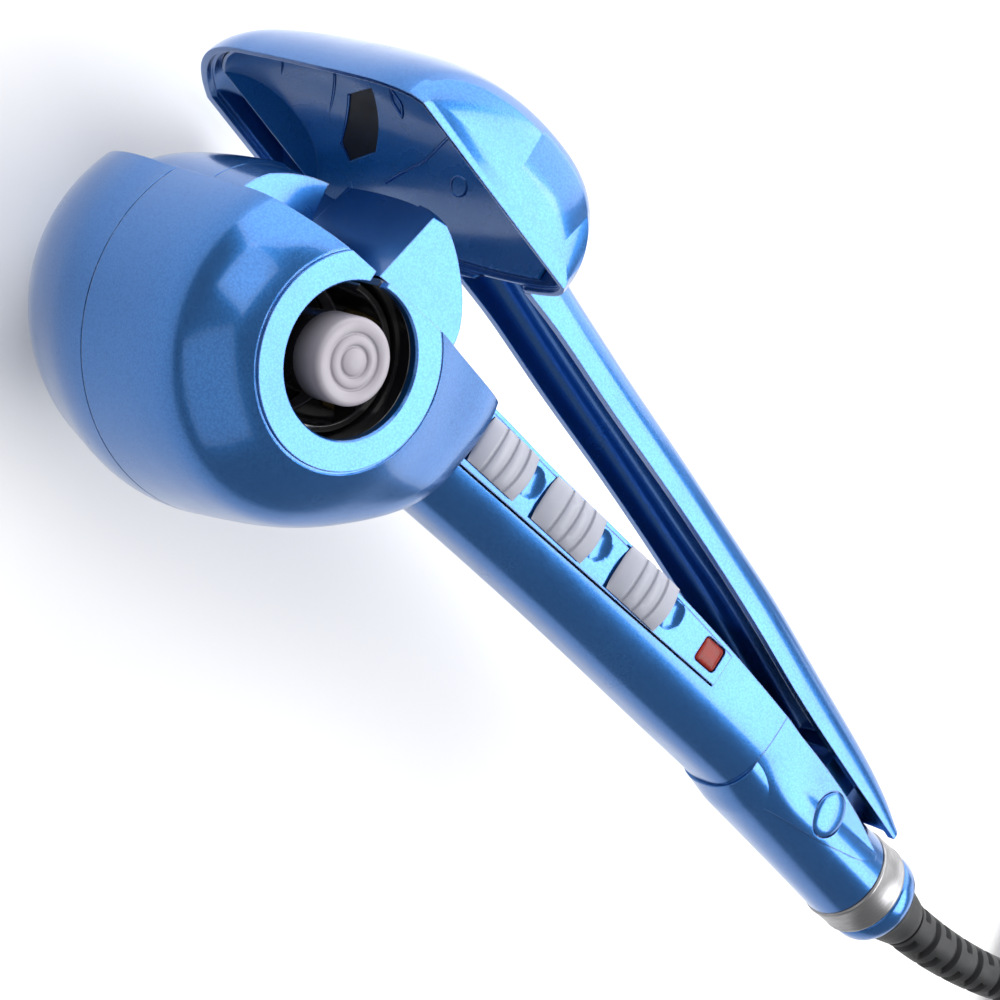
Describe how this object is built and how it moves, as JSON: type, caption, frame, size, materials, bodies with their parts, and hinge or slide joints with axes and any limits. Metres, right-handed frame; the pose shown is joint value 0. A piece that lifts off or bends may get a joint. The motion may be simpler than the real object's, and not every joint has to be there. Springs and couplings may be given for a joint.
{
  "type": "automatic hair curler",
  "caption": "Corded jaw-type automatic hair curler: drum head with curl outlet and hair channel, hinged lid arm, sliding switches on the handle and a swivel cord.",
  "frame": {"origin": "on the drum's axis, in the flat pole of the head's closed dome", "axes": "+X from the head to the cord end, +Y the way the upper arm opens, +Z along the drum's axis out of the curl outlet"},
  "size_m": [0.508, 0.1372, 0.1051],
  "materials": {
    "blue_gloss": "metallic blue lacquer, high gloss",
    "blue_gloss_cap": "metallic blue lacquer, high gloss",
    "blue_satin_inner": "satin blue, inner faces",
    "black_gloss": "gloss black, heat resistant",
    "black_plastic": "matt black",
    "ceramic_barrel": "dark ceramic coating on aluminium",
    "core_cap_grey": "satin lilac grey",
    "slider_grey": "satin silver grey",
    "indicator_red": "translucent red orange",
    "nylon_gear": "natural nylon",
    "brass": "machined",
    "steel": "plain",
    "brushed_silver": "brushed round the axis",
    "circuit_board_green": "solder mask",
    "black_rubber": "matt"
  },
  "bodies": {
    "handle": {"chamber_liner": "black_gloss", "circuit_board": "circuit_board_green", "control_bezel": "blue_gloss", "cord_coil": "black_rubber", "cord_end": "black_rubber", "cord_run": "black_rubber", "core_cap": "core_cap_grey", "cuff_band": "brushed_silver", "drive_motor": "steel", "end_ring": "blue_gloss", "gear_plate": "steel", "hair_guide_left_front": "blue_gloss", "hair_guide_left_rear": "blue_gloss", "hair_guide_right_front": "blue_gloss", "hair_guide_right_rear": "blue_gloss", "handle_cover": "blue_satin_inner", "handle_shell": "blue_gloss", "head_end_cap": "blue_gloss_cap", "heater_barrel": "ceramic_barrel", "heater_mount": "ceramic_barrel", "hinge_cap_far": "blue_gloss", "hinge_cap_near": "blue_gloss", "hinge_pin": "steel", "indicator_led": "indicator_red", "indicator_lens": "indicator_red", "jaw_spring": "steel", "lower_head_shell": "blue_gloss", "plug_blade_1": "brass", "plug_blade_2": "brass", "plug_body": "black_rubber", "rotor_bush": "brass", "side_plate_far": "blue_gloss", "side_plate_near": "blue_gloss", "slide_switch_1": "black_plastic", "slide_switch_2": "black_plastic", "slide_switch_3": "black_plastic", "tail_sleeve": "blue_gloss"},
    "upper_arm": {"upper_arm_shell": "blue_gloss", "lid_shell": "blue_gloss", "lid_liner": "blue_satin_inner", "hinge_bush_near": "brass", "hinge_bush_far": "brass"},
    "rotor": {"winding_rotor": "black_gloss", "rotor_gear": "nylon_gear"},
    "pinion": {"motor_pinion": "brass"},
    "slider_1": {"slider_1": "slider_grey"},
    "slider_2": {"slider_2": "slider_grey"},
    "slider_3": {"slider_3": "slider_grey"},
    "swivel": {"swivel_cone": "black_rubber", "strain_relief": "black_rubber"}
  },
  "joints": [
    {"name": "jaw_hinge", "type": "hinge", "parent": "handle", "child": "upper_arm", "pos_m": [0.2, 0, 0.0715], "axis": [0, 0, 1], "range_deg": [0, 8.7], "stiffness_Nm_per_rad": 0.6, "springref_deg": -11.46},
    {"name": "rotor_spin", "type": "hinge", "parent": "handle", "child": "rotor", "pos_m": [0, 0, 0.08], "axis": [0, 0, 1], "continuous": true},
    {"name": "pinion_spin", "type": "hinge", "parent": "handle", "child": "pinion", "pos_m": [0.01056, -0.01987, 0.068], "axis": [0, 0, 1], "continuous": true},
    {"name": "slider_1_slide", "type": "slide", "parent": "handle", "child": "slider_1", "axis": [0.9998, -0.018, 0], "range_m": [0, 0.005]},
    {"name": "slider_2_slide", "type": "slide", "parent": "handle", "child": "slider_2", "axis": [0.9998, -0.018, 0], "range_m": [0, 0.005]},
    {"name": "slider_3_slide", "type": "slide", "parent": "handle", "child": "slider_3", "axis": [0.9998, -0.018, 0], "range_m": [0, 0.005]},
    {"name": "cord_swivel", "type": "hinge", "parent": "handle", "child": "swivel", "pos_m": [0.246, -0.0054, 0.0715], "axis": [1, 0, 0], "continuous": true, "deforming": ["cord_run"]}
  ],
  "couplings": [
    {"joint": "pinion_spin", "follows": "rotor_spin", "ratio": -3.5}
  ]
}
